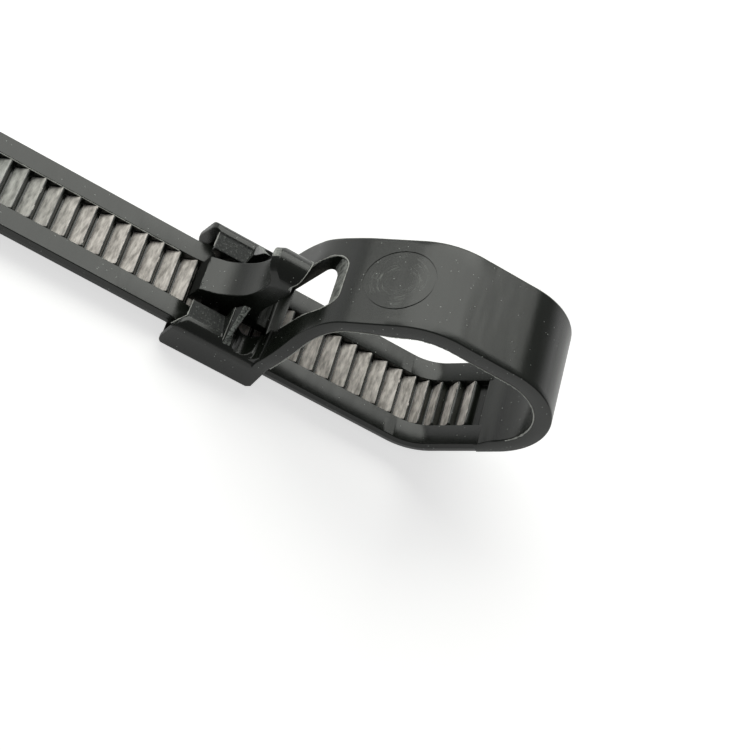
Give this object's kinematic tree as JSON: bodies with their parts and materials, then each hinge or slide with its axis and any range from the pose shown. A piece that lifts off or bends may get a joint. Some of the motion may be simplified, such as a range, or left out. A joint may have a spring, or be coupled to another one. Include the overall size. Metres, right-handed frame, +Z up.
{
  "type": "cable tie",
  "caption": "Releasable cable tie closed into a loop, its toothed tail run through the head and held by a pawl with a finger lever.",
  "frame": {"origin": "under the middle of the tie's bounding box, on the plane that the back of the head and the strap behind it rest on", "axes": "+X along the strap, from the tip of the tail towards the loop; +Y across the width of the strap; +Z up, from the back of the head towards the top of the loop and the lever"},
  "size_m": [0.1152, 0.0098, 0.0152],
  "materials": {
    "nylon_black": "satin moulded nylon, slightly grey"
  },
  "bodies": {
    "root": {"cable_tie": "nylon_black"}
  },
  "joints": []
}
